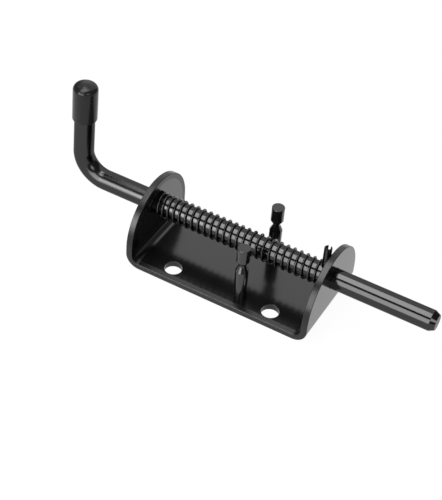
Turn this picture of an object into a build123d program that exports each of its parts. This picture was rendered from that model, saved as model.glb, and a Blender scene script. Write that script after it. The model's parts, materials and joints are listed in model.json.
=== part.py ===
"""Spring loaded gate latch with a hold-open position.

A round bolt slides in a bent plate bracket. A compression spring around the bolt pushes a cross pin
against the right flange. Pulled back by its handle and given a quarter turn, the bolt hooks the ends
of the cross pin behind two necked posts and stays open.

Millimetres. X runs along the bolt towards its nose, Y across the bracket and Z up. The origin is on
the underside of the base, midway between the flanges and between the base's long edges.
"""

import math
import os

from build123d import *

# bracket, bent from one plate
bracket_length = 121.8
bracket_width = 62.4
plate = 4.0
bend_radius = 4.8  # inside of each bend
flange_side_height = 13.5  # where the straight sides of a flange end and its half-round begins
bolt_height = 27.8  # axis of the bolt above the underside
bolt_running_gap = 0.08  # all round the bolt in its bores
hole_spacing_x = 66.0
hole_edge_distance = 9.1  # from the long edges of the base to the middles of the mounting holes
mounting_hole = 10.8
rolled_edge_width = 3.5  # band along the long edges of the base that the press has rolled down
rolled_edge_drop = 0.3

# bolt, one bent bar
bolt_diameter = 12.7
nose_reach = 64.9  # from the right flange to the end of the bolt
nose_taper_length = 3.3
nose_taper_depth = 1.6
handle_reach = 50.8  # from the left flange to the axis of the handle
handle_bend_radius = 16.4  # to the axis of the bar
handle_lean = 2.0  # degrees that the handle leans back over the bracket

# vinyl cap on the handle
cap_start = 41.6  # along the handle, from the axis of the bolt to the cap's rim
cap_length = 25.0
cap_wall = 1.3
cap_end_wall = 2.4
cap_top_taper = 2.0
cap_rim_taper = 0.4

# slotted spring pin through the bolt
pin_diameter = 4.76
pin_wall = 0.9
pin_slot = 1.7
pin_length = 40.0
pin_rise = 21.1  # how far it stands out above the axis of the bolt
pin_end_taper = 0.4

# compression spring, as installed, its wire made of straight runs that keep the long coil light
wire = 1.4
runs_per_turn = 16
wire_sides = 6
spring_bolt_gap = 0.05
spring_end_gap = 0.05  # between each end of the wire and what it pushes on
spring_start = -63.0  # where the wire begins around the bolt, in degrees from the back towards the top
spring_coils = (  # from the left flange to the pin: turns, and their pitch as a share of the middle coils
    (0.3, 0.45), (1, 0.69), (1, 0.80), (1, 0.90), (1, 0.89), (1, 0.97), (20, 1.0), (0.45, 0.72),
)

# hold-open posts
post_diameter = 7.9
post_height = 42.8  # top above the underside
post_x = 11.8
post_edge_distance = 10.25  # from the long edges of the base to the axes of the posts
post_neck_diameter = 4.5
neck_below_bolt = 2.6  # shoulder of the neck under the axis of the bolt
neck_above_bolt = 5.3  # head of the post over the axis of the bolt
neck_flat = 1.0
post_top_taper = 0.25
post_shank_diameter = 6.0
post_shank_recess = 0.3  # the staked end stays this far inside the base

# places that follow from the sizes above
half_length = bracket_length / 2
half_width = bracket_width / 2
hole_spacing_y = bracket_width - 2 * hole_edge_distance
post_y = half_width - post_edge_distance
flange_inner_x = half_length - plate
flange_top = flange_side_height + half_width
bolt_radius = bolt_diameter / 2
pin_radius = pin_diameter / 2
pin_x = flange_inner_x - pin_radius
nose_x = half_length + nose_reach
handle_x = -half_length - handle_reach
post_radius = post_diameter / 2


def u_profile(inset, top):
    """Section of the plate bracket's outside, moved inwards by inset, open at the given height."""
    x = half_length - inset
    r = bend_radius + plate - inset
    outline = FilletPolyline((-x, top), (-x, inset), (x, inset), (x, top), radius=r)
    return make_face(Plane.XZ * (outline + Line((x, top), (-x, top))))


def make_bracket():
    top = flange_top + 10
    folded = extrude(u_profile(0, top), amount=half_width, both=True)
    inside = extrude(u_profile(plate, top + 10), amount=half_width + 10, both=True)
    body = folded - inside

    # the rolled edges are cut by the inside shape itself, tipped about the line where the band begins
    tip = math.degrees(math.atan2(rolled_edge_drop, rolled_edge_width))
    band_y = half_width - rolled_edge_width
    for side in (-1, 1):
        tool = extrude(u_profile(plate, top + 10), amount=half_width / 2, both=True)
        tool = Pos(0, side * half_width, 0) * tool
        hinge = Axis((0, side * band_y, plate), (1, 0, 0))
        body -= tool.rotate(hinge, -side * tip)

    # half-round tops of both flanges in one cut
    side_view = Pos(0, flange_side_height) * Circle(half_width)
    side_view += Pos(0, flange_side_height / 2) * Rectangle(bracket_width, flange_side_height)
    body &= extrude(Plane.YZ * side_view, amount=half_length, both=True)

    # bores for the bolt, holes for the mounting screws and for the posts
    bore = Cylinder(bolt_radius + bolt_running_gap, bracket_length + 2, rotation=(0, 90, 0))
    body -= Pos(0, 0, bolt_height) * bore
    for place in GridLocations(hole_spacing_x, hole_spacing_y, 2, 2):
        body -= place * Cylinder(mounting_hole / 2, 4 * plate)
    for side in (-1, 1):
        body -= Pos(post_x, side * post_y, 0) * Cylinder(post_shank_diameter / 2, 4 * plate)
    return body


def handle_direction():
    lean = math.radians(handle_lean)
    return Vector(math.sin(lean), 0, math.cos(lean))


def handle_point(along):
    """A point on the axis of the handle, at a distance from the axis of the bolt."""
    # the handle is tangent to the bend, whose outermost point lies at handle_x
    lean = math.radians(handle_lean)
    centre_x = handle_x + handle_bend_radius
    centre_z = bolt_height + handle_bend_radius
    end_x = centre_x - handle_bend_radius * math.cos(lean)
    end_z = centre_z + handle_bend_radius * math.sin(lean)
    up = (bolt_height + along * math.cos(lean) - end_z) / math.cos(lean)
    return Vector(end_x, 0, end_z) + handle_direction() * up


def make_bolt():
    top = handle_point(cap_start + cap_length - cap_end_wall)
    bend_start = handle_x + handle_bend_radius
    straight = Line((nose_x, 0, bolt_height), (bend_start, 0, bolt_height))
    bend = JernArc(
        start=(0, 0), tangent=(-1, 0), radius=handle_bend_radius, arc_size=-(90 + handle_lean)
    )
    bend = Pos(bend_start, 0, bolt_height) * (Plane.XZ * bend)
    upright = Line(bend @ 1, top)
    section = Plane(origin=(nose_x, 0, bolt_height), z_dir=(-1, 0, 0)) * Circle(bolt_radius)
    bar = sweep(section, path=Wire([straight, bend, upright]))
    nose = bar.faces().sort_by(Axis.X)[-1]
    bar = chamfer(nose.edges(), nose_taper_depth, nose_taper_length)
    bar -= Pos(pin_x, 0, bolt_height) * Cylinder(pin_radius, 2 * bolt_diameter)
    return bar


def make_cap():
    bore = Pos(0, 0, (cap_length - cap_end_wall) / 2) * Cylinder(bolt_radius, cap_length - cap_end_wall)
    cap = Pos(0, 0, cap_length / 2) * Cylinder(bolt_radius + cap_wall, cap_length)
    cap = chamfer(cap.edges().filter_by(GeomType.CIRCLE).sort_by(Axis.Z)[-1], cap_top_taper)
    cap = chamfer(cap.edges().filter_by(GeomType.CIRCLE).sort_by(Axis.Z)[0], cap_rim_taper)
    seat = Plane(origin=handle_point(cap_start), x_dir=(0, 1, 0), z_dir=handle_direction())
    return seat * (cap - bore)


def make_spring():
    # a polygon with the area of the round wire reaches out this far at its corners
    wire_reach = wire / 2 * math.sqrt(2 * math.pi / wire_sides / math.sin(2 * math.pi / wire_sides))
    start = -flange_inner_x + spring_end_gap + wire_reach
    end = pin_x - pin_radius - spring_end_gap - wire_reach
    pitch = (end - start) / sum(turns * share for turns, share in spring_coils)
    radius = (bolt_radius + spring_bolt_gap + wire_reach) / math.cos(math.pi / runs_per_turn)

    # corners of the wire's path, group of coils by group of coils
    corners = []
    angle = math.radians(spring_start)
    x = start
    for turns, share in spring_coils:
        runs = max(2, round(turns * runs_per_turn))
        for run in range(runs):
            corners.append((x, radius * math.cos(angle), bolt_height + radius * math.sin(angle)))
            angle += 2 * math.pi * turns / runs
            x += share * pitch * turns / runs
    corners.append((x, radius * math.cos(angle), bolt_height + radius * math.sin(angle)))
    path = Polyline(*corners)
    section = Plane(origin=path @ 0, x_dir=(1, 0, 0), z_dir=path % 0) * RegularPolygon(wire_reach, wire_sides)
    return sweep(section, path=path, transition=Transition.RIGHT)


def make_pin():
    tube = Cylinder(pin_radius, pin_length)
    tube = chamfer(tube.edges().filter_by(GeomType.CIRCLE), pin_end_taper)
    tube -= Cylinder(pin_radius - pin_wall, pin_length)
    tube -= Pos(0, pin_radius, 0) * Box(pin_slot, 2 * pin_radius, pin_length)
    return Pos(pin_x, 0, bolt_height + pin_rise - pin_length / 2) * tube


def make_post(side):
    shoulder = bolt_height - neck_below_bolt
    head = bolt_height + neck_above_bolt
    middle = (shoulder + head) / 2 + 0.4
    neck = post_neck_diameter / 2
    shank = post_shank_diameter / 2
    profile = Polyline(
        (0, post_shank_recess), (shank, post_shank_recess), (shank, plate), (post_radius, plate),
        (post_radius, shoulder), (neck, middle - neck_flat / 2), (neck, middle + neck_flat / 2),
        (post_radius, head), (post_radius, post_height), (0, post_height), (0, post_shank_recess),
    )
    post = revolve(Plane.XZ * make_face(profile), Axis.Z)
    post = chamfer(post.edges().group_by(Axis.Z)[-1], post_top_taper)
    return Pos(post_x, side * post_y, 0) * post


def write(node, solid):
    solid.label = node
    export_step(solid, f"parts/{node}.step")


os.makedirs("parts", exist_ok=True)
write("bracket", make_bracket())
write("bolt_rod", make_bolt())
write("handle_cap", make_cap())
write("spring", make_spring())
write("roll_pin", make_pin())
write("catch_post_front", make_post(-1))
write("catch_post_back", make_post(1))
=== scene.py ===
"""Spring loaded gate latch: the visible pieces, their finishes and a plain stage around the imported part."""

import json
import math

import bmesh
import bpy
from bpy.props import FloatProperty, FloatVectorProperty, IntProperty, PointerProperty
from bpy.types import Operator, Panel, PropertyGroup
from mathutils import Matrix, Vector


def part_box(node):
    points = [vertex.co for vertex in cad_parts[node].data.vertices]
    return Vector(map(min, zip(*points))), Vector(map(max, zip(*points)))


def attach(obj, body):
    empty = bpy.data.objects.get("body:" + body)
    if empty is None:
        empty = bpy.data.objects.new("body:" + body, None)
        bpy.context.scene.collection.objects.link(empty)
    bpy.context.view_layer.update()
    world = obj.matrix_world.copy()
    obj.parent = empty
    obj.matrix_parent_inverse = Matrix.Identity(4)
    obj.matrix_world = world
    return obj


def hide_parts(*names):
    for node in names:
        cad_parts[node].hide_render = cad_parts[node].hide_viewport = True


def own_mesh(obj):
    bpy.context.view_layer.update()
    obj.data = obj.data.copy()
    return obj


bl_info = {
    "name": "Spring Loaded Gate Latch",
    "version": (1, 0, 0),
    "blender": (4, 5, 0),
    "location": "3D View > Sidebar > Gate Latch",
    "description": "Bracket, bolt, cap, spring, cross pin and catch posts of a spring loaded gate latch",
    "category": "Object",
}

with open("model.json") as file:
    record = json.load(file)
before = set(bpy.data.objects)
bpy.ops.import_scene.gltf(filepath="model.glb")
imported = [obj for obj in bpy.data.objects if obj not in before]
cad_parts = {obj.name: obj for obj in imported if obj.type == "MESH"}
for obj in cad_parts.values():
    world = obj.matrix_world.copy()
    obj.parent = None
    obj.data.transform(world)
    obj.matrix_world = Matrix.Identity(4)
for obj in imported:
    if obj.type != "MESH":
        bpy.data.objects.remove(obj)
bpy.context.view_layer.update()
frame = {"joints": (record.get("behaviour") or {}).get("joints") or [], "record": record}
MM = 0.001
SIDES = (-1, 1)
POST_NODES = ("catch_post_front", "catch_post_back")


def joint(name):
    return next(j for j in frame["joints"] if j["name"] == name)


def mount(name):
    return next(m for m in frame["record"]["mounts"] if m["name"] == name)


BOLT_AXIS = Vector(joint("bolt_turn")["pos_m"])
BASE_HOLES = mount("mounting_holes")["dims"]
BRACKET_LOW, BRACKET_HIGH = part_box("bracket")
HALF_LENGTH = BRACKET_HIGH.x
HALF_WIDTH = BRACKET_HIGH.y
NOSE_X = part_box("bolt_rod")[1].x
PIN_LOW, PIN_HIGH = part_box("roll_pin")
PIN_RADIUS = (PIN_HIGH.x - PIN_LOW.x) / 2
PIN_MIDDLE = (PIN_LOW + PIN_HIGH) / 2


def length(name, description, millimetres):
    return FloatProperty(
        name=name, description=description, default=millimetres * MM,
        unit="LENGTH", subtype="DISTANCE", precision=5,
    )


def share(name, description, default):
    return FloatProperty(
        name=name, description=description, default=default, min=0, max=1, subtype="FACTOR"
    )


def angle(name, description, degrees):
    return FloatProperty(
        name=name, description=description, default=math.radians(degrees), unit="ROTATION", subtype="ANGLE"
    )


def colour(name, description, default):
    return FloatVectorProperty(
        name=name, description=description, default=default, size=3, min=0, max=1, subtype="COLOR"
    )


def brightness(name, description, default):
    return FloatProperty(name=name, description=description, default=default, min=0)


class BracketSizes(PropertyGroup):
    plate: length("Plate Thickness", "Thickness of the steel plate", 4.0)
    inside_bend: length("Inside Bend Radius", "Radius inside each of the two bends", 4.8)
    side_height: length("Side Height", "Height at which the half-round top of a flange begins", 13.5)
    bore_gap: length("Bore Gap", "Running gap all round the bolt in the bores of the flanges", 0.08)
    edge: length("Edge Radius", "Rounding of the outer side's edges", 0.3)
    roll: length("Rolled Edge Radius", "Rounding of the inner side's edges", 0.45)
    band_width: length("Rolled Band", "Width of the band that the press draws down along the edges", 3.5)
    band_drop: length("Rolled Drop", "How far the outer edge of that band lies lower", 0.4)


class PostSizes(PropertyGroup):
    shank: length("Shank Diameter", "Diameter of the end that sits in the base", 6.0)
    neck: length("Neck Diameter", "Diameter of the groove that catches the cross pin", 4.5)
    shoulder_drop: length("Shoulder Drop", "Lower edge of the groove, below the axis of the bolt", 2.6)
    head_rise: length("Head Rise", "Upper edge of the groove, above the axis of the bolt", 5.3)
    edge: length("Edge Radius", "Rounding of the turned edges", 0.28)


class BoltSizes(PropertyGroup):
    diameter: length("Bolt Diameter", "Diameter of the round bar", 12.7)
    bend_radius: length("Handle Bend", "Radius of the bend, to the axis of the bar", 16.4)
    handle_x: length("Handle Position", "Where the axes of the handle and the bolt cross", -112.283)
    lean: angle("Handle Lean", "How far the handle leans over the bracket", 2)
    taper_length: length("Nose Taper Length", "Length of the taper at the nose", 3.3)
    taper_depth: length("Nose Taper Depth", "How much smaller the end of the nose is in radius", 1.6)
    pin_wall: length("Pin Wall", "Wall of the rolled cross pin", 0.9)
    pin_slot: length("Pin Slot", "Width of the slot along the cross pin", 1.7)


class CapSizes(PropertyGroup):
    start: length("Cap Start", "Along the handle, from the axis of the bolt to the rim of the cap", 41.6)
    length: length("Cap Length", "Length of the vinyl cap", 25.0)
    wall: length("Cap Wall", "Wall of the vinyl", 1.3)
    end_wall: length("Cap End Wall", "Thickness of the closed end", 2.4)
    top_radius: length("Top Radius", "Rounding of the closed end", 3.3)
    crown: length("Crown", "Rise of the closed end from its edge to its middle", 1.3)
    rim_radius: length("Rim Radius", "Rounding of the rim", 0.3)


class SpringSizes(PropertyGroup):
    wire: length("Wire Diameter", "Diameter of the round wire", 1.4)
    bolt_gap: length("Bolt Gap", "Radial gap between the bolt and the inside of the coils", 0.06)
    start: angle("Start Angle", "Where the wire begins, from the back of the bolt towards its top", -63)
    steps: IntProperty(
        name="Steps per Turn", description="Points of the wire in each turn", default=36, min=8
    )


class FinishColours(PropertyGroup):
    coating: colour("Bracket Coating", "Gloss black coating of bracket and posts", (0.0035, 0.0035, 0.0037))
    bar: colour("Bolt Coating", "Black finish of the bolt and the cross pin", (0.049, 0.049, 0.05))
    wire: colour("Spring Coating", "Black coating of the spring wire", (0.004, 0.004, 0.004))
    vinyl: colour("Cap Vinyl", "Black vinyl of the cap", (0.008, 0.008, 0.0082))
    dust: colour("Dust", "Fine dust that settles on the coatings", (0.16, 0.155, 0.15))
    gloss: share("Coating Roughness", "Roughness of the bracket's coating", 0.16)
    peel: length("Coating Waviness", "Depth of the soft waves in the coating", 0.004)


class StageLook(PropertyGroup):
    floor: colour("Floor", "Colour of the pale floor", (0.85, 0.85, 0.85))
    shadow: share("Shadow Strength", "Part of the floor's brightness that its shadows may take away", 0.05)
    sky: brightness("Room Light", "Even light from all sides", 0.2)
    top: brightness("Top Softbox", "Brightness of the softbox overhead", 6.1)
    front: brightness("Front Softbox", "Brightness of the softbox in front", 5.2)
    left: brightness("Left Softbox", "Brightness of the narrow softbox in front at the left", 5.2)
    right: brightness("Right Softbox", "Brightness of the softbox at the right", 4.1)
    back: brightness("Back Softbox", "Brightness of the softbox behind", 0.95)


class GateLatch(PropertyGroup):
    bracket: PointerProperty(type=BracketSizes)
    posts: PointerProperty(type=PostSizes)
    bolt: PointerProperty(type=BoltSizes)
    cap: PointerProperty(type=CapSizes)
    spring: PointerProperty(type=SpringSizes)
    finish: PointerProperty(type=FinishColours)
    stage: PointerProperty(type=StageLook)


ARC_STEP = math.radians(16)  # the most that a rounded corner turns from one point to the next
SAME_PLACE = 1e-7  # points nearer than this are one point, in metres
BROAD_FACES = 80  # how strongly the broad faces set the normals, of 100


def rounded(corners):
    """Turns (x, y, radius) corners into a list of points, with an arc at each corner that has a radius."""
    points = []
    for i, (x, y, radius) in enumerate(corners):
        here = Vector((x, y))
        if not radius or i in (0, len(corners) - 1):
            points.append(here)
            continue
        before = (Vector(corners[i - 1][:2]) - here).normalized()
        after = (Vector(corners[i + 1][:2]) - here).normalized()
        half = before.angle(after) / 2
        centre = here + (before + after).normalized() * radius / math.sin(half)
        first = here + before * radius / math.tan(half) - centre
        turn = (math.pi - 2 * half) * (1 if before.x * after.y - before.y * after.x < 0 else -1)
        steps = max(2, math.ceil(abs(turn) / ARC_STEP))
        for k in range(steps + 1):
            points.append(centre + Matrix.Rotation(turn * k / steps, 2) @ first)
    return points


def new_piece(name, vertices, faces):
    mesh = bpy.data.meshes.new(name)
    mesh.from_pydata(vertices, [], faces)
    piece = bpy.data.objects.new(name, mesh)
    bpy.context.scene.collection.objects.link(piece)
    return piece


def smooth(piece, sharp_angle=35):
    """Points the faces outwards, shades them smoothly and lets the broad faces set the normals."""
    mesh = piece.data
    work = bmesh.new()
    work.from_mesh(mesh)
    bmesh.ops.remove_doubles(work, verts=work.verts, dist=SAME_PLACE)
    bmesh.ops.recalc_face_normals(work, faces=work.faces)
    work.to_mesh(mesh)
    work.free()
    mesh.polygons.foreach_set("use_smooth", [True] * len(mesh.polygons))
    mesh.set_sharp_from_angle(angle=math.radians(sharp_angle))
    weighted = piece.modifiers.new("broad faces", "WEIGHTED_NORMAL")
    weighted.keep_sharp = True
    weighted.weight = BROAD_FACES
    make_plain(piece)


def make_plain(piece):
    """Applies a piece's modifiers, so that it is a plain mesh. A curve becomes a mesh of the same name."""
    bpy.context.view_layer.update()
    seen = piece.evaluated_get(bpy.context.evaluated_depsgraph_get())
    mesh = bpy.data.meshes.new_from_object(seen)
    mesh.name = piece.name
    if piece.type == "MESH":
        piece.modifiers.clear()
        piece.data = mesh
        return piece
    name = piece.name
    bpy.data.objects.remove(piece)
    plain = bpy.data.objects.new(name, mesh)
    bpy.context.scene.collection.objects.link(plain)
    return plain


def turned(name, profile, place, segments=72):
    """A turned piece: the (radius, height) profile goes round the Z axis of place, closed at both poles."""
    vertices = []
    rings = []
    for radius, height in profile:
        count = segments if radius > SAME_PLACE else 1
        rings.append([len(vertices) + k for k in range(count)])
        for k in range(count):
            around = 2 * math.pi * k / segments
            vertices.append(place @ Vector((radius * math.cos(around), radius * math.sin(around), height)))
    faces = []
    for low, high in zip(rings, rings[1:]):
        for k in range(segments):
            corners = [
                low[k % len(low)], low[(k + 1) % len(low)], high[(k + 1) % len(high)], high[k % len(high)],
            ]
            corners = list(dict.fromkeys(corners))
            if len(corners) > 2:
                faces.append(corners)
    piece = new_piece(name, vertices, faces)
    smooth(piece)
    return piece


def finish_piece(piece, material, body, node):
    """Gives a piece its material in a new slot and the body that it rides on, and hides the CAD node that it
    replaces.
    """
    # clearing the materials also puts every face in the first slot, so a piece without any is left alone
    if piece.data.materials:
        piece.data.materials.clear()
    piece.data.materials.append(material)
    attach(piece, body)
    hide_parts(node)


class Tree:
    """Short calls for building a node tree."""

    def __init__(self, tree):
        self.tree = tree

    def socket(self, name, direction, kind, default=None):
        made = self.tree.interface.new_socket(name=name, in_out=direction, socket_type=kind)
        if default is not None:
            made.default_value = default

    def add(self, kind, inputs=None, **settings):
        """A node; each of its inputs is set to a value or linked to another node's output."""
        node = self.tree.nodes.new(kind)
        for name, value in settings.items():
            setattr(node, name, value)
        for name, value in (inputs or {}).items():
            if hasattr(value, "is_output"):
                self.tree.links.new(value, node.inputs[name])
            else:
                node.inputs[name].default_value = value
        return node

    def math(self, operation, *values):
        return self.add("ShaderNodeMath", dict(enumerate(values)), operation=operation).outputs[0]

    def spread(self, value, low, high):
        """A value's way from low to high, as a number from 0 to 1."""
        node = self.add("ShaderNodeMapRange", {"Value": value, "From Min": low, "From Max": high})
        return node.outputs[0]


def coating_group():
    """Soft waves, slight changes of gloss and settled dust of a coated surface."""
    tree = bpy.data.node_groups.new("coated surface", "ShaderNodeTree")
    build = Tree(tree)
    build.socket("Colour", "INPUT", "NodeSocketColor", (0, 0, 0, 1))
    build.socket("Dust Colour", "INPUT", "NodeSocketColor", (0.16, 0.155, 0.15, 1))
    build.socket("Dust Amount", "INPUT", "NodeSocketFloat", 0.02)
    build.socket("Roughness", "INPUT", "NodeSocketFloat", 0.16)
    build.socket("Roughness Spread", "INPUT", "NodeSocketFloat", 0.04)
    build.socket("Wave Scale", "INPUT", "NodeSocketFloat", 260.0)
    build.socket("Colour", "OUTPUT", "NodeSocketColor")
    build.socket("Roughness", "OUTPUT", "NodeSocketFloat")
    build.socket("Height", "OUTPUT", "NodeSocketFloat")
    given = build.add("NodeGroupInput").outputs
    place = build.add("ShaderNodeTexCoord").outputs["Object"]

    def noise(scale, detail):
        inputs = {"Vector": place, "Scale": scale, "Detail": detail}
        return build.add("ShaderNodeTexNoise", inputs).outputs["Fac"]

    waves = noise(scale=given["Wave Scale"], detail=2.0)
    clouds = noise(scale=55.0, detail=4.0)
    specks = noise(scale=1900.0, detail=1.0)
    grains = build.spread(specks, low=0.60, high=0.74)
    drift = build.spread(clouds, low=0.35, high=0.7)
    dust = build.math("MULTIPLY", build.math("MULTIPLY", grains, drift), given["Dust Amount"])
    # input 0 of a Mix node is its factor, inputs 6 and 7 are its colours and output 2 is the mixed colour
    mixed = build.add(
        "ShaderNodeMix", {0: dust, 6: given["Colour"], 7: given["Dust Colour"]}, data_type="RGBA"
    )
    lift = build.math("MULTIPLY", build.math("SUBTRACT", clouds, 0.5), given["Roughness Spread"])
    rough = build.math("ADD", build.math("MULTIPLY_ADD", lift, 2.0, given["Roughness"]), dust)
    height = build.math("MULTIPLY_ADD", dust, 0.5, waves)
    build.add("NodeGroupOutput", {"Colour": mixed.outputs[2], "Roughness": rough, "Height": height})
    return tree


def coated_material(
    name, base, roughness, spread, waves, depth, ior=1.5, dust=0.02, metallic=0.0, edge_tint=1.0,
):
    """A coating with soft waves, whose scale is waves and whose height is depth, and a little dust."""
    group = bpy.data.node_groups.get("coated surface") or coating_group()
    finish = bpy.context.scene.gate_latch.finish
    material = bpy.data.materials.new(name)
    material.use_nodes = True
    material.diffuse_color = (*base, 1)
    material.node_tree.nodes.clear()
    build = Tree(material.node_tree)
    surface = build.add("ShaderNodeGroup", node_tree=group)
    surface.inputs["Colour"].default_value = (*base, 1)
    surface.inputs["Dust Colour"].default_value = (*finish.dust, 1)
    surface.inputs["Dust Amount"].default_value = dust
    surface.inputs["Roughness"].default_value = roughness
    surface.inputs["Roughness Spread"].default_value = spread
    surface.inputs["Wave Scale"].default_value = waves
    bump = build.add("ShaderNodeBump", {
        "Height": surface.outputs["Height"], "Distance": depth, "Strength": 1.0,
    })
    shader = build.add("ShaderNodeBsdfPrincipled", {
        "Base Color": surface.outputs["Colour"], "Roughness": surface.outputs["Roughness"],
        "Normal": bump.outputs["Normal"], "IOR": ior, "Metallic": metallic,
        "Specular Tint": (edge_tint, edge_tint, edge_tint, 1),
    })
    build.add("ShaderNodeOutputMaterial", {"Surface": shader.outputs["BSDF"]})
    return material


HOLE_STEPS = 72
HOLE_EDGE = 0.25 * MM
HALF_ROUND_STEPS = 96
BEND_STEPS = 14
CREASE = 0.3 * MM  # the strip beside the rolled band that keeps its crease narrow
SHEARED_SLOT = 1  # of the bracket's two materials, the one on its sheared edges


def circle(radius, x, y):
    turns = [2 * math.pi * k / HOLE_STEPS for k in range(HOLE_STEPS)]
    return [(x + radius * math.cos(turn), y + radius * math.sin(turn)) for turn in turns]


def stadium(reach, radius):
    """The outline of the blank: two half circles whose middles lie at plus and minus reach."""
    outline = []
    for side in (1, -1):
        for k in range(HALF_ROUND_STEPS + 1):
            turn = math.pi * (k / HALF_ROUND_STEPS - 0.5)
            outline.append((side * (reach + radius * math.cos(turn)), side * radius * math.sin(turn)))
    return outline


class LATCH_OT_bracket(Operator):
    """Cut the flat blank with its holes and rounded edges, then bend up the two flanges"""
    bl_idname = "gate_latch.bracket"
    bl_label = "Bracket"
    bl_options = {"REGISTER", "UNDO"}

    def execute(self, context):
        latch = context.scene.gate_latch
        sizes = latch.bracket
        outer = sizes.inside_bend + sizes.plate
        middle = sizes.inside_bend + sizes.plate / 2
        flat = HALF_LENGTH - outer
        bend = middle * math.pi / 2
        bore = flat + bend + BOLT_AXIS.z - outer
        round_start = flat + bend + sizes.side_height - outer
        holes = [(x * bore, 0, latch.bolt.diameter / 2 + sizes.bore_gap) for x in SIDES]
        for x in SIDES:
            for y in SIDES:
                place = (x * BASE_HOLES["spacing_x_mm"] * MM / 2, y * BASE_HOLES["spacing_y_mm"] * MM / 2)
                holes.append((*place, BASE_HOLES["hole_r_mm"] * MM))
        for node in POST_NODES:
            low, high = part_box(node)
            holes.append(((low.x + high.x) / 2, (low.y + high.y) / 2, latch.posts.shank / 2))
        work = bmesh.new()
        self.punch(work, sizes, round_start, holes)
        self.fold(work, sizes, flat, bend, outer, middle)
        plate = new_piece("bracket_plate", [], [])
        work.to_mesh(plate.data)
        work.free()
        smooth(plate, sharp_angle=50)
        finish = latch.finish
        coat = coated_material(
            "gloss black coating", finish.coating,
            roughness=finish.gloss, spread=0.03, waves=230.0, depth=finish.peel, ior=1.64,
        )
        finish_piece(plate, coat, "bracket", "bracket")
        plate.data.materials.append(coated_material(
            "coating on sheared edges", finish.coating,
            roughness=0.27, spread=0.08, waves=400.0, depth=0.012 * MM, ior=1.43,
        ))
        return {"FINISHED"}

    def punch(self, work, sizes, round_start, holes):
        """The flat blank: its rolled rim, the walls of its holes and the two faces between them."""
        rim = rounded([
            (2 * sizes.edge, 0, 0), (0, 0, sizes.edge), (0, sizes.plate, sizes.roll),
            (2 * sizes.roll, sizes.plate, 0), (sizes.band_width - CREASE, sizes.plate, 0),
            (sizes.band_width, sizes.plate, 0),
        ])
        wall = rounded([
            (-sizes.edge, 0, 0), (0, 0, HOLE_EDGE),
            (0, sizes.plate, HOLE_EDGE), (-sizes.edge, sizes.plate, 0),
        ])
        stacks = [[(stadium(round_start, HALF_WIDTH - inset), height) for inset, height in rim]]
        for x, y, radius in holes:
            stacks.append([(circle(radius - inset, x, y), height) for inset, height in wall])
        lids = ([], [])
        for stack in stacks:
            rings = [[work.verts.new((x, y, height)) for x, y in loop] for loop, height in stack]
            for low, high in zip(rings, rings[1:]):
                for k in range(len(low)):
                    face = work.faces.new((low[k - 1], low[k], high[k], high[k - 1]))
                    face.material_index = SHEARED_SLOT
            for lid, ring in zip(lids, (rings[0], rings[-1])):
                lid.extend(work.edges.get((ring[k - 1], ring[k])) for k in range(len(ring)))
        for lid in lids:
            bmesh.ops.triangle_fill(work, use_beauty=True, edges=lid)

    def fold(self, work, sizes, flat, bend, outer, middle):
        """Draws down the long edges of the base and folds the blank up about its two bends."""
        cuts = [flat + bend * k / BEND_STEPS for k in range(BEND_STEPS + 1)]
        for x in [side * cut for side in SIDES for cut in cuts]:
            parts = work.verts[:] + work.edges[:] + work.faces[:]
            bmesh.ops.bisect_plane(work, geom=parts, plane_co=(x, 0, 0), plane_no=(1, 0, 0), dist=1e-6)
        for vertex in work.verts:
            along, across, height = vertex.co
            run = abs(along)
            turn = min(max((run - flat) / middle, 0), math.pi / 2)
            band = max(abs(across) - HALF_WIDTH + sizes.band_width, 0) / sizes.band_width
            height *= 1 - sizes.band_drop / sizes.plate * band * math.cos(turn) ** 2
            x = min(run, flat) + (outer - height) * math.sin(turn)
            z = outer - (outer - height) * math.cos(turn) + max(run - flat - bend, 0)
            vertex.co = (math.copysign(x, along), across, z)


class LATCH_OT_posts(Operator):
    """Turn the two catch posts with their grooves"""
    bl_idname = "gate_latch.posts"
    bl_label = "Catch Posts"
    bl_options = {"REGISTER", "UNDO"}

    def execute(self, context):
        latch = context.scene.gate_latch
        sizes = latch.posts
        coat = bpy.data.materials["gloss black coating"]
        plate = latch.bracket.plate
        shank = sizes.shank / 2
        neck = sizes.neck / 2
        shoulder = BOLT_AXIS.z - sizes.shoulder_drop
        head = BOLT_AXIS.z + sizes.head_rise
        neck_lift = 0.4 * MM
        middle = (shoulder + head) / 2 + neck_lift
        half_flat = 0.5 * MM
        groove_edge = 0.6 * MM
        foot_edge = 0.2 * MM
        seat_edge = 0.15 * MM
        for node in POST_NODES:
            low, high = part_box(node)
            radius = (high.x - low.x) / 2
            profile = rounded([
                (0, low.z, 0), (shank, low.z, foot_edge), (shank, plate, 0),
                (radius, plate, seat_edge), (radius, shoulder, sizes.edge),
                (neck, middle - half_flat, groove_edge), (neck, middle + half_flat, groove_edge),
                (radius, head, sizes.edge), (radius, high.z, sizes.edge), (0, high.z, 0),
            ])
            place = Matrix.Translation(((low.x + high.x) / 2, (low.y + high.y) / 2, 0))
            post = turned(node.replace("catch", "turned"), profile, place)
            finish_piece(post, coat, "bracket", node)
        return {"FINISHED"}


SLIDING_ROUGHNESS = 0.12
HANDLE_ROUGHNESS = 0.2


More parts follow.
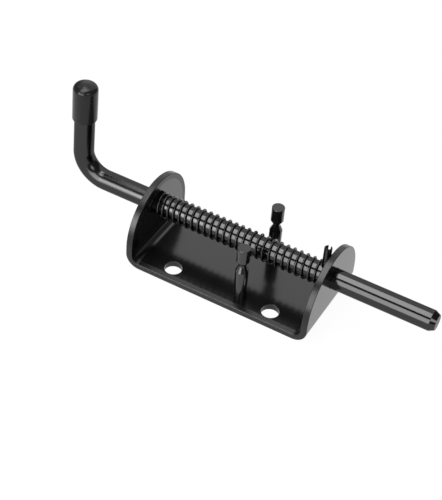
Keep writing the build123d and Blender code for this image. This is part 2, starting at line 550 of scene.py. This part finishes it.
class LATCH_OT_bolt(Operator):
    """Bend the round bar into the bolt and its handle"""
    bl_idname = "gate_latch.bolt"
    bl_label = "Bolt"
    bl_options = {"REGISTER", "UNDO"}

    def execute(self, context):
        latch = context.scene.gate_latch
        bar = coated_material(
            "black bar finish", latch.finish.bar, roughness=SLIDING_ROUGHNESS, spread=0.03,
            waves=120.0, depth=0.0006 * MM, metallic=1.0, edge_tint=0.6,
        )
        self.wear(bar.node_tree)
        bolt = self.bend_bar(latch)
        self.drill(bolt)
        finish_piece(bolt, bar, "bolt", "bolt_rod")
        return {"FINISHED"}

    def wear(self, tree):
        """The bar is smooth where it slides in its bores and less so from the left flange to the handle."""
        build = Tree(tree)
        place = build.add("ShaderNodeTexCoord").outputs["Object"]
        along = build.add("ShaderNodeSeparateXYZ", {"Vector": place}).outputs["X"]
        wear_begins = -HALF_LENGTH - 12 * MM
        wear_is_full = -HALF_LENGTH + 4 * MM
        rough = build.add("ShaderNodeMapRange", {
            "Value": along, "From Min": wear_begins, "From Max": wear_is_full,
            "To Min": HANDLE_ROUGHNESS, "To Max": SLIDING_ROUGHNESS,
        }, interpolation_type="SMOOTHSTEP").outputs[0]
        surface = next(node for node in tree.nodes if node.type == "GROUP")
        tree.links.new(rough, surface.inputs["Roughness"])

    def bend_bar(self, latch):
        """A poly curve with the corner of the handle, rounded and given its section by Geometry Nodes."""
        sizes = latch.bolt
        radius = sizes.diameter / 2
        nose = radius - sizes.taper_depth
        nose_edge = 0.35 * MM
        taper_edge = 0.7 * MM
        face_run = 1 * MM
        side_run = 3 * MM
        taper = rounded([
            (nose - face_run, 0, 0), (nose, 0, nose_edge),
            (radius, sizes.taper_length, taper_edge), (radius, sizes.taper_length + side_run, 0),
        ])
        points = [(NOSE_X - along, 0, BOLT_AXIS.z, size / radius) for size, along in taper[1:]]
        start = points[-1][0]
        bend_room = 25 * MM
        straight = sizes.handle_x + bend_room - start
        runs = 60
        points += [(start + straight * k / runs, 0, BOLT_AXIS.z, 1) for k in range(1, runs + 1)]
        points.append((sizes.handle_x, 0, BOLT_AXIS.z, 1))
        end = handle_place(latch, latch.cap.start + latch.cap.length - latch.cap.end_wall)
        points.append((*(end @ Vector()), 1))
        data = bpy.data.curves.new("bent_bolt", "CURVE")
        data.dimensions = "3D"
        spline = data.splines.new("POLY")
        spline.points.add(len(points) - 1)
        for point, (x, y, z, size) in zip(spline.points, points):
            point.co = (x, y, z, 1)
            point.radius = size
        bolt = bpy.data.objects.new("bent_bolt", data)
        bpy.context.scene.collection.objects.link(bolt)
        bent = bolt.modifiers.new("bent bar", "NODES")
        bent.node_group = bar_nodes(sizes)
        set_inputs(bent, {"Bar Radius": radius, "Bend Radius": sizes.bend_radius})
        return make_plain(bolt)

    def drill(self, bolt):
        """The hole that the cross pin is pressed through."""
        reach = 9 * MM
        profile = [(0, -reach), (PIN_RADIUS, -reach), (PIN_RADIUS, reach), (0, reach)]
        place = Matrix.Translation((PIN_MIDDLE.x, 0, BOLT_AXIS.z))
        drill = turned("drill", profile, place, segments=48)
        cut = bolt.modifiers.new("cross hole", "BOOLEAN")
        cut.operation = "DIFFERENCE"
        cut.solver = "EXACT"
        cut.object = drill
        make_plain(bolt)
        bpy.data.objects.remove(drill)
        smooth(bolt)


class LATCH_OT_pin(Operator):
    """Roll the slotted cross pin, a tube with both ends chamfered"""
    bl_idname = "gate_latch.pin"
    bl_label = "Cross Pin"
    bl_options = {"REGISTER", "UNDO"}

    def execute(self, context):
        sizes = context.scene.gate_latch.bolt
        low, high = PIN_LOW.z, PIN_HIGH.z
        chamfer = 0.4 * MM
        soft_edge = 0.05 * MM
        levels = [
            (low, chamfer), (low + chamfer * 0.8, soft_edge), (low + chamfer * 1.5, 0),
            (high - chamfer * 1.5, 0), (high - chamfer * 0.8, soft_edge), (high, chamfer),
        ]
        vertices = [(x, y, z) for z, shrink in levels for x, y in self.section(sizes, shrink)]
        count = len(vertices) // len(levels)
        faces = [list(range(count)), list(range(count * (len(levels) - 1), count * len(levels)))]
        for level in range(len(levels) - 1):
            for k in range(count):
                a = level * count + k
                b = level * count + (k + 1) % count
                faces.append([a, b, b + count, a + count])
        pin = new_piece("rolled_pin", vertices, faces)
        smooth(pin, sharp_angle=30)
        finish_piece(pin, bpy.data.materials["black bar finish"], "bolt", "roll_pin")
        return {"FINISHED"}

    def section(self, sizes, shrink):
        """The open ring of the tube: round its outside and back round its inside."""
        steps = 56
        loop = []
        for radius, forward in ((PIN_RADIUS - shrink, True), (PIN_RADIUS - sizes.pin_wall, False)):
            gap = math.asin(sizes.pin_slot / 2 / radius)
            turns = [math.pi / 2 + gap + (2 * math.pi - 2 * gap) * k / steps for k in range(steps + 1)]
            for turn in turns if forward else reversed(turns):
                loop.append((PIN_MIDDLE.x + radius * math.cos(turn), radius * math.sin(turn)))
        return loop


def handle_place(latch, along):
    """A place on the axis of the handle, that far from the axis of the bolt, with Z along the handle."""
    lean = Matrix.Rotation(latch.bolt.lean, 4, "Y")
    foot = Matrix.Translation((latch.bolt.handle_x, 0, BOLT_AXIS.z))
    return foot @ lean @ Matrix.Translation((0, 0, along))


def set_inputs(modifier, values):
    """Sets a Geometry Nodes modifier's inputs by the identifiers of their sockets."""
    for item in modifier.node_group.interface.items_tree:
        if item.item_type == "SOCKET" and item.in_out == "INPUT" and item.name in values:
            modifier[item.identifier] = values[item.name]


def end_tree(build, mesh, material, name):
    """Shades the mesh smoothly, makes it real and gives it its material."""
    shaded = build.add("GeometryNodeSetShadeSmooth", {"Geometry": mesh}).outputs[0]
    real = build.add("GeometryNodeRealizeInstances", {"Geometry": shaded}).outputs[0]
    coloured = build.add("GeometryNodeSetMaterial", {"Geometry": real, "Material": material}).outputs[0]
    build.add("NodeGroupOutput", {name: coloured})


def bar_nodes(sizes):
    """Rounds the corner of a poly curve and sweeps the bar's round section along it."""
    tree = bpy.data.node_groups.new("bent bar", "GeometryNodeTree")
    build = Tree(tree)
    build.socket("Path", "INPUT", "NodeSocketGeometry")
    build.socket("Bar Radius", "INPUT", "NodeSocketFloat", sizes.diameter / 2)
    build.socket("Bend Radius", "INPUT", "NodeSocketFloat", sizes.bend_radius)
    build.socket("Section Steps", "INPUT", "NodeSocketInt", 96)
    build.socket("Bend Steps", "INPUT", "NodeSocketInt", 40)
    build.socket("Material", "INPUT", "NodeSocketMaterial")
    build.socket("Bar", "OUTPUT", "NodeSocketGeometry")
    given = build.add("NodeGroupInput").outputs
    bend = build.add("GeometryNodeFilletCurve", {
        "Curve": given["Path"], "Radius": given["Bend Radius"], "Limit Radius": True,
        "Count": given["Bend Steps"],
    }, mode="POLY")
    section = build.add("GeometryNodeCurvePrimitiveCircle", {
        "Resolution": given["Section Steps"], "Radius": given["Bar Radius"],
    })
    sweep = build.add("GeometryNodeCurveToMesh", {
        "Curve": bend.outputs[0], "Profile Curve": section.outputs["Curve"], "Fill Caps": True,
        "Scale": build.add("GeometryNodeInputRadius").outputs[0],
    })
    end_tree(build, sweep.outputs[0], given["Material"], "Bar")
    return tree


# from the left flange to the cross pin: turns, and their pitch as a share of the middle coils' pitch
SPRING_COILS = (
    (0.3, 0.45), (1, 0.69), (1, 0.80), (1, 0.90), (1, 0.89), (1, 0.97), (20, 1.0), (0.45, 0.72),
)


def spring_nodes():
    """A wire that winds round the bolt with a pitch that changes from one group of coils to the next."""
    tree = bpy.data.node_groups.new("coiled wire", "GeometryNodeTree")
    build = Tree(tree)
    build.socket("Foot", "INPUT", "NodeSocketVector")
    build.socket("Pitch", "INPUT", "NodeSocketFloat", 0.004)
    build.socket("Coil Radius", "INPUT", "NodeSocketFloat", 0.007)
    build.socket("Wire Radius", "INPUT", "NodeSocketFloat", 0.0007)
    build.socket("Start Angle", "INPUT", "NodeSocketFloat", 0.0)
    build.socket("Steps per Turn", "INPUT", "NodeSocketInt", 36)
    build.socket("Section Steps", "INPUT", "NodeSocketInt", 14)
    build.socket("Material", "INPUT", "NodeSocketMaterial")
    build.socket("Wire", "OUTPUT", "NodeSocketGeometry")
    given = build.add("NodeGroupInput").outputs
    total = sum(turns for turns, part in SPRING_COILS)
    steps = build.math("ROUND", build.math("MULTIPLY", given["Steps per Turn"], total))
    count = build.math("ADD", steps, 1.0)
    line = build.add("GeometryNodeMeshLine", {"Count": count}, mode="OFFSET")
    index = build.add("GeometryNodeInputIndex").outputs[0]
    turn = build.math("DIVIDE", build.math("MULTIPLY", index, total), build.math("SUBTRACT", count, 1.0))
    advance = 0.0
    begun = 0.0
    for turns, part in SPRING_COILS:
        stretch = build.add("ShaderNodeMapRange", {
            "Value": turn, "From Min": begun, "From Max": begun + turns,
            "To Min": 0.0, "To Max": turns * part,
        }, clamp=True)
        advance = build.math("ADD", stretch.outputs[0], advance)
        begun += turns
    around = build.math("MULTIPLY_ADD", turn, 2 * math.pi, given["Start Angle"])
    offset = build.add("ShaderNodeCombineXYZ", {
        "X": build.math("MULTIPLY", advance, given["Pitch"]),
        "Y": build.math("MULTIPLY", build.math("COSINE", around), given["Coil Radius"]),
        "Z": build.math("MULTIPLY", build.math("SINE", around), given["Coil Radius"]),
    })
    place = build.add("ShaderNodeVectorMath", {0: given["Foot"], 1: offset.outputs[0]}, operation="ADD")
    laid = build.add("GeometryNodeSetPosition", {"Geometry": line.outputs[0], "Position": place.outputs[0]})
    path = build.add("GeometryNodeMeshToCurve", {"Mesh": laid.outputs[0]})
    section = build.add("GeometryNodeCurvePrimitiveCircle", {
        "Resolution": given["Section Steps"], "Radius": given["Wire Radius"],
    })
    sweep = build.add("GeometryNodeCurveToMesh", {
        "Curve": path.outputs[0], "Profile Curve": section.outputs["Curve"], "Fill Caps": True,
    })
    end_tree(build, sweep.outputs[0], given["Material"], "Wire")
    return tree


class LATCH_OT_spring(Operator):
    """Wind the compression spring between the left flange and the cross pin"""
    bl_idname = "gate_latch.spring"
    bl_label = "Spring"
    bl_options = {"REGISTER", "UNDO"}

    def execute(self, context):
        latch = context.scene.gate_latch
        sizes = latch.spring
        wire = sizes.wire / 2
        end_gap = 0.06 * MM
        flange = -HALF_LENGTH + latch.bracket.plate
        start = flange + end_gap + wire
        end = PIN_LOW.x - end_gap - wire
        coat = coated_material(
            "black spring coating", latch.finish.wire,
            roughness=0.07, spread=0.02, waves=500.0, depth=0.0004 * MM, ior=1.55, dust=0.01,
        )
        spring = new_piece("coil_spring", [], [])
        wound = spring.modifiers.new("coiled wire", "NODES")
        wound.node_group = spring_nodes()
        set_inputs(wound, {
            "Foot": (start, 0, BOLT_AXIS.z),
            "Pitch": (end - start) / sum(turns * part for turns, part in SPRING_COILS),
            "Coil Radius": latch.bolt.diameter / 2 + sizes.bolt_gap + wire,
            "Wire Radius": wire,
            "Start Angle": sizes.start,
            "Steps per Turn": sizes.steps,
            "Material": coat,
        })
        make_plain(spring)
        finish_piece(spring, coat, "spring", "spring")
        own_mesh(spring)
        return {"FINISHED"}


class LATCH_OT_cap(Operator):
    """Mould the vinyl cap with its round closed end"""
    bl_idname = "gate_latch.cap"
    bl_label = "Vinyl Cap"
    bl_options = {"REGISTER", "UNDO"}

    def execute(self, context):
        latch = context.scene.gate_latch
        sizes = latch.cap
        bore = latch.bolt.diameter / 2 + 0.02 * MM
        outer = bore + sizes.wall
        draft = outer - 0.05 * MM
        bore_end_edge = 0.3 * MM
        bore_edge = 0.15 * MM
        crown_flat = outer * 0.2
        crown_edge = 8 * MM
        profile = rounded([
            (0, sizes.length - sizes.end_wall, 0), (bore, sizes.length - sizes.end_wall, bore_end_edge),
            (bore, 0, bore_edge), (draft, 0, sizes.rim_radius),
            (outer, sizes.length * 0.5, 0), (draft, sizes.length - sizes.crown, sizes.top_radius),
            (crown_flat, sizes.length, crown_edge), (0, sizes.length, 0),
        ])
        cap = turned("vinyl_cap", profile, handle_place(latch, sizes.start), segments=96)
        vinyl = coated_material(
            "black vinyl", latch.finish.vinyl,
            roughness=0.2, spread=0.05, waves=300.0, depth=0.01 * MM, ior=1.33,
        )
        finish_piece(cap, vinyl, "bolt", "handle_cap")
        return {"FINISHED"}


# where each softbox stands, how it is tilted about X and then Z from lying overhead, and its two sides
SOFTBOXES = {
    "top": ((-0.285, -0.06, 1.17), (0, 0), (0.49, 1.05)),
    "front": ((-0.25, -0.98, 0.34), (72, 0), (0.85, 0.9)),
    "left": ((-0.51, -0.98, 0.42), (68, 0), (0.24, 0.42)),
    "right": ((0.85, -0.60, 0.68), (50, 50), (0.45, 0.45)),
    "back": ((-0.40, 1.033, 0.812), (-50, 0), (1.5, 1.6)),
}

FLOOR_REACH = 3
FLOOR_DROP = 0.05 * MM
FLOOR_LIGHT = 0.85  # how bright the lights alone make a white floor, as a part of white

# the camera's azimuth, elevation and roll in degrees, its distance and shift in millimetres, and its lens
CAMERA_ANGLES = (26.411, 43.253, 4.805)
CAMERA_DISTANCE = 846.10
CAMERA_SHIFT = (-10.776, 13.437)
CAMERA_LENS = 67.26
SENSOR_HEIGHT = 24


class LATCH_OT_stage(Operator):
    """Lay the pale floor and set the soft lights and the camera"""
    bl_idname = "gate_latch.stage"
    bl_label = "Stage"
    bl_options = {"REGISTER", "UNDO"}

    def execute(self, context):
        look = context.scene.gate_latch.stage
        self.lay_floor(look)
        self.light_room(context.scene, look)
        for side, (place, tilt, size) in SOFTBOXES.items():
            self.softbox(side + " softbox", getattr(look, side), place, tilt, size)
        self.place_camera(context.scene)
        return {"FINISHED"}

    def lay_floor(self, look):
        """A floor that looks white to the camera and in reflections and keeps a part of its shadows."""
        signs = ((-1, -1), (1, -1), (1, 1), (-1, 1))
        corners = [(x * FLOOR_REACH, y * FLOOR_REACH, -FLOOR_DROP) for x, y in signs]
        floor = new_piece("pale_floor", corners, [[0, 1, 2, 3]])
        material = bpy.data.materials.new("pale floor")
        material.use_nodes = True
        material.node_tree.nodes.clear()
        build = Tree(material.node_tree)
        path = build.add("ShaderNodeLightPath").outputs
        seen = build.math("MAXIMUM", path["Is Camera Ray"], path["Is Glossy Ray"])
        seen = build.math("MAXIMUM", seen, path["Is Transmission Ray"])
        plain = build.add("ShaderNodeBsdfDiffuse", {"Color": (*look.floor, 1)}).outputs[0]
        shade = build.add("ShaderNodeBsdfDiffuse", {"Color": (look.shadow,) * 3 + (1,)}).outputs[0]
        white = build.add("ShaderNodeEmission", {"Strength": 1 - FLOOR_LIGHT * look.shadow}).outputs[0]
        both = build.add("ShaderNodeAddShader", {0: shade, 1: white}).outputs[0]
        mixed = build.add("ShaderNodeMixShader", {0: seen, 1: plain, 2: both}).outputs[0]
        build.add("ShaderNodeOutputMaterial", {"Surface": mixed})
        floor.data.materials.append(material)

    def light_room(self, scene, look):
        """A room that looks white to the camera and lights the latch evenly."""
        world = bpy.data.worlds.new("plain room")
        world.use_nodes = True
        scene.world = world
        world.node_tree.nodes.clear()
        build = Tree(world.node_tree)
        seen = build.add("ShaderNodeLightPath").outputs["Is Camera Ray"]
        white = build.add("ShaderNodeBackground", {"Strength": 1.0}).outputs[0]
        room = build.add("ShaderNodeBackground", {"Strength": look.sky}).outputs[0]
        mixed = build.add("ShaderNodeMixShader", {0: seen, 1: room, 2: white}).outputs[0]
        build.add("ShaderNodeOutputWorld", {"Surface": mixed})

    def softbox(self, name, strength, place, tilt, size):
        """A rectangle of light that the camera doesn't see."""
        lamp = bpy.data.lights.new(name, "AREA")
        lamp.shape = "RECTANGLE"
        lamp.size, lamp.size_y = size
        lamp.energy = strength * math.pi * size[0] * size[1]
        lamp_object = bpy.data.objects.new(name, lamp)
        bpy.context.scene.collection.objects.link(lamp_object)
        lean, turn = (math.radians(degrees) for degrees in tilt)
        lamp_object.matrix_world = (
            Matrix.Translation(place) @ Matrix.Rotation(turn, 4, "Z") @ Matrix.Rotation(lean, 4, "X")
        )
        lamp_object.visible_camera = False

    def place_camera(self, scene):
        """The camera of the photograph, solved from the bracket's edges and the outlines of its flanges."""
        azimuth, elevation, roll = (math.radians(degrees) for degrees in CAMERA_ANGLES)
        back = Vector((
            math.sin(azimuth) * math.cos(elevation), -math.cos(azimuth) * math.cos(elevation),
            math.sin(elevation),
        ))
        right = Vector((math.cos(azimuth), math.sin(azimuth), 0))
        up = back.cross(right)
        across = right * math.cos(roll) + up * math.sin(roll)
        upright = up * math.cos(roll) - right * math.sin(roll)
        place = (back * CAMERA_DISTANCE + across * CAMERA_SHIFT[0] + upright * CAMERA_SHIFT[1]) * MM
        data = bpy.data.cameras.new("photograph view")
        data.sensor_fit = "VERTICAL"
        data.sensor_height = SENSOR_HEIGHT
        data.lens = CAMERA_LENS
        data.clip_start = 0.01
        camera = bpy.data.objects.new("photograph view", data)
        scene.collection.objects.link(camera)
        turn = Matrix((across, upright, back)).transposed().to_4x4()
        camera.matrix_world = Matrix.Translation(place) @ turn
        scene.camera = camera
        scene.view_settings.view_transform = "Standard"


STEPS = (
    LATCH_OT_bracket, LATCH_OT_posts, LATCH_OT_bolt, LATCH_OT_pin, LATCH_OT_cap, LATCH_OT_spring,
    LATCH_OT_stage,
)


class LATCH_PT_sidebar(Panel):
    bl_idname = "LATCH_PT_sidebar"
    bl_label = "Gate Latch"
    bl_space_type = "VIEW_3D"
    bl_region_type = "UI"
    bl_category = "Gate Latch"

    def draw(self, context):
        latch = context.scene.gate_latch
        for step in STEPS:
            self.layout.operator(step.bl_idname, text=step.bl_label)
        for part in GateLatch.__annotations__:
            group = getattr(latch, part)
            box = self.layout.box()
            for name in group.__annotations__:
                box.prop(group, name)


GROUPS = (
    BracketSizes, PostSizes, BoltSizes, CapSizes, SpringSizes, FinishColours, StageLook, GateLatch,
)
CLASSES = GROUPS + STEPS + (LATCH_PT_sidebar,)


def register():
    for item in CLASSES:
        bpy.utils.register_class(item)
    bpy.types.Scene.gate_latch = PointerProperty(type=GateLatch)


def unregister():
    del bpy.types.Scene.gate_latch
    for item in reversed(CLASSES):
        bpy.utils.unregister_class(item)


def main():
    register()
    for step in STEPS:
        group, name = step.bl_idname.split(".")
        getattr(getattr(bpy.ops, group), name)()


if __name__ == "__main__":
    main()
